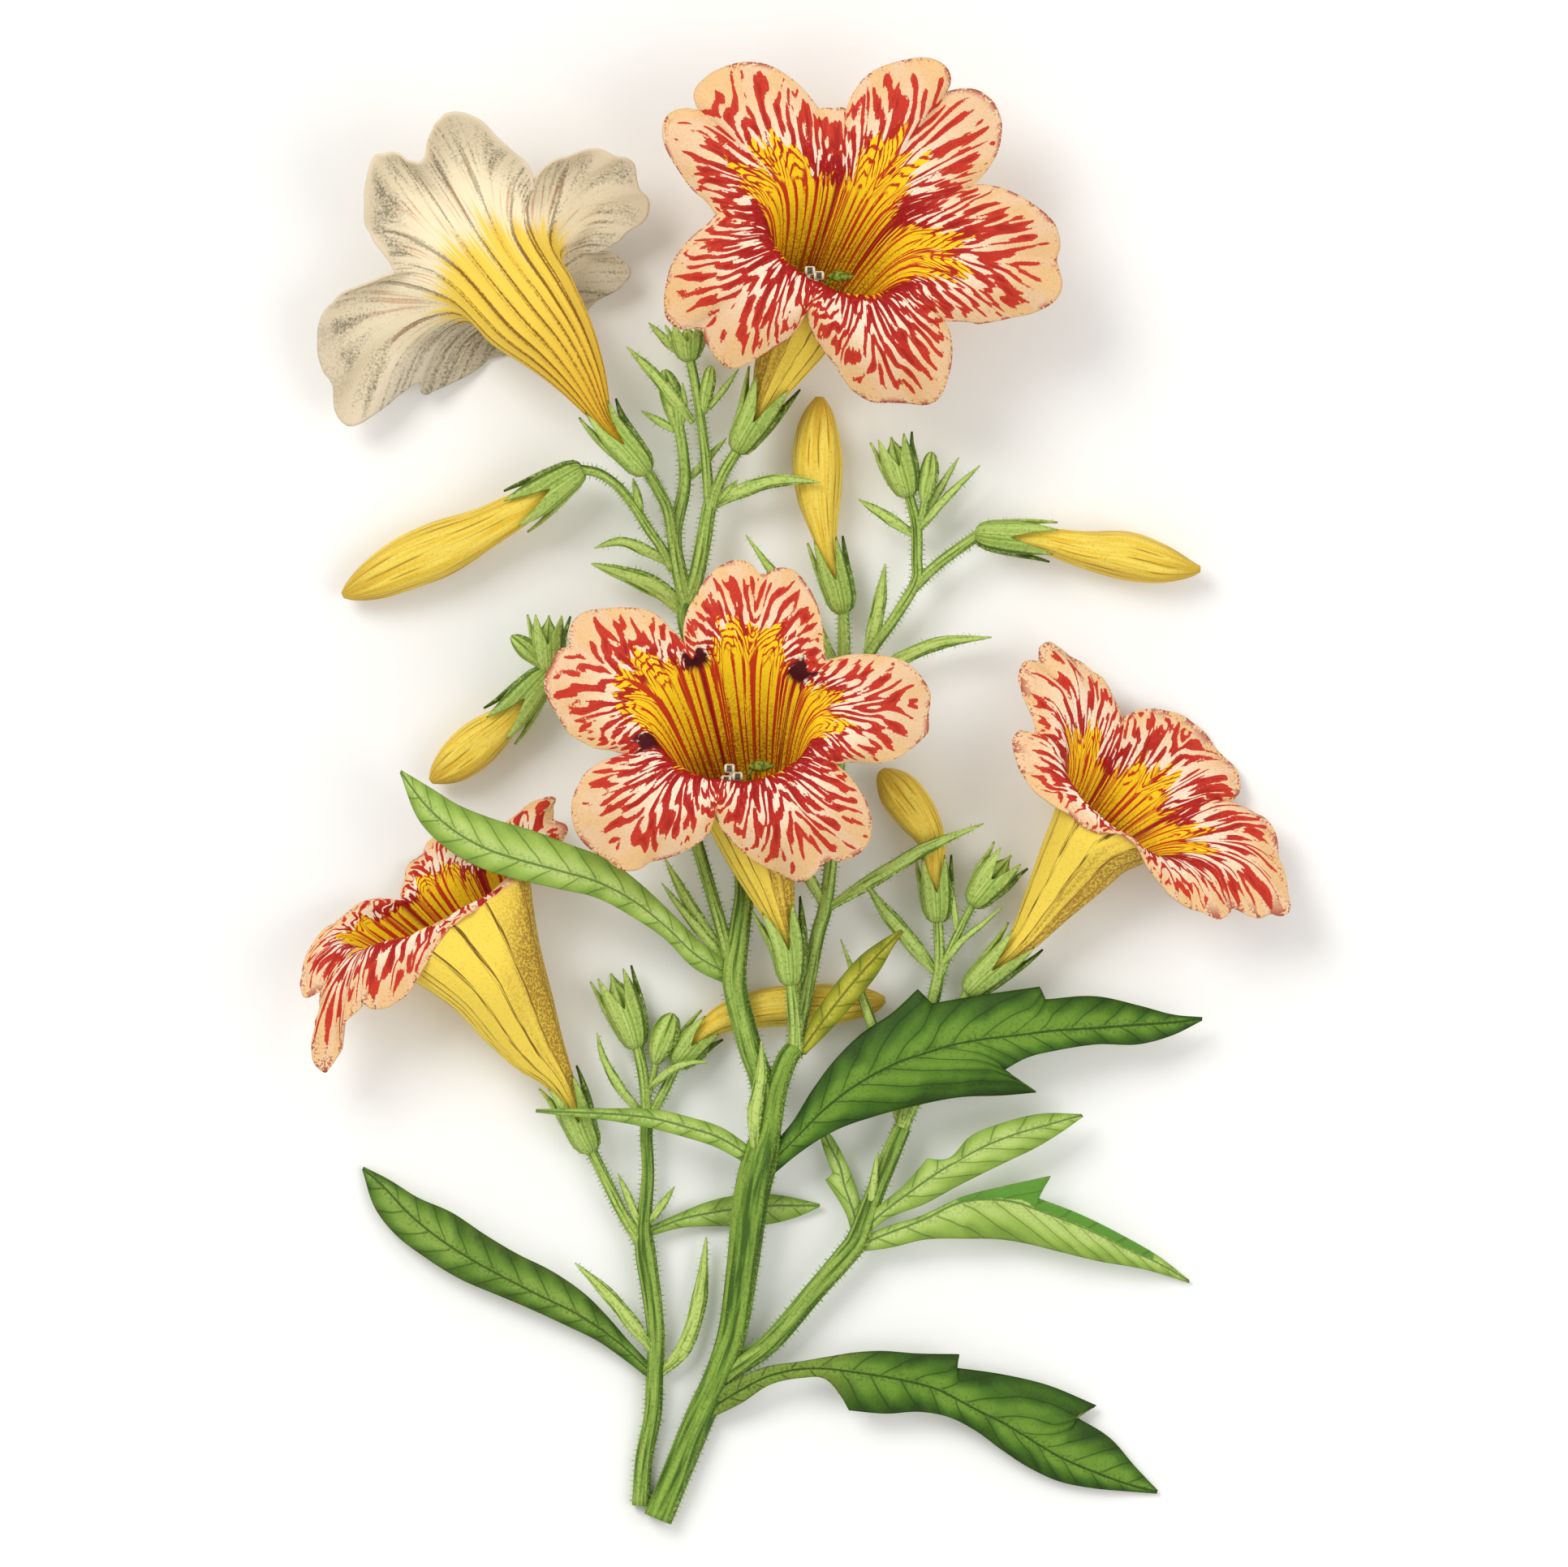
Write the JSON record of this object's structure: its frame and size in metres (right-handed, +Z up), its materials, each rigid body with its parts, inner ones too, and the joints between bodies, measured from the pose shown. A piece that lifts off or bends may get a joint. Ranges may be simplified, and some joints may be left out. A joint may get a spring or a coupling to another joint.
{
  "type": "cut flower spray",
  "caption": "Cut spray of painted tongue with veined trumpet blooms, yellow buds, hairy stems and wavy toothed leaves, lying on its side.",
  "frame": {"origin": "middle of the box's bottom face, on the surface that the spray lies on", "axes": "+Y from the cut ends towards the top blooms, +X to the right as seen from above, +Z up from the surface"},
  "size_m": [0.1527, 0.226, 0.0287],
  "materials": {
    "stem_green": "matt, hairy plant skin",
    "leaf_dark": "satin leaf skin",
    "leaf_light": "satin leaf skin",
    "leaf_young": "satin leaf skin",
    "petal_painted": "velvety petal skin with dark veins",
    "petal_white": "velvety petal skin",
    "bud_yellow": "velvety petal skin",
    "anther": "matt",
    "stigma": "moist and smooth"
  },
  "bodies": {
    "root": {"leafy_stems": "stem_green", "leaf_lower_right": "leaf_dark", "leaf_lower_left": "leaf_dark", "leaf_middle_right": "leaf_dark", "leaf_middle_left": "leaf_light", "leaf_side_upper": "leaf_light", "leaf_side_lower": "leaf_light", "leaf_side_small": "leaf_light", "leaf_behind_stem": "leaf_light", "leaf_strap_left": "leaf_light", "leaf_young": "leaf_young", "corolla_white": "petal_white", "corolla_top": "petal_painted", "corolla_centre": "petal_painted", "corolla_left": "petal_painted", "corolla_right": "petal_painted", "bud_left": "bud_yellow", "bud_left_small": "bud_yellow", "bud_upper": "bud_yellow", "bud_right": "bud_yellow", "bud_middle": "bud_yellow", "bud_low": "bud_yellow", "stamens_top": "anther", "stigma_top": "stigma", "stamens_centre": "anther", "stigma_centre": "stigma"}
  },
  "joints": []
}
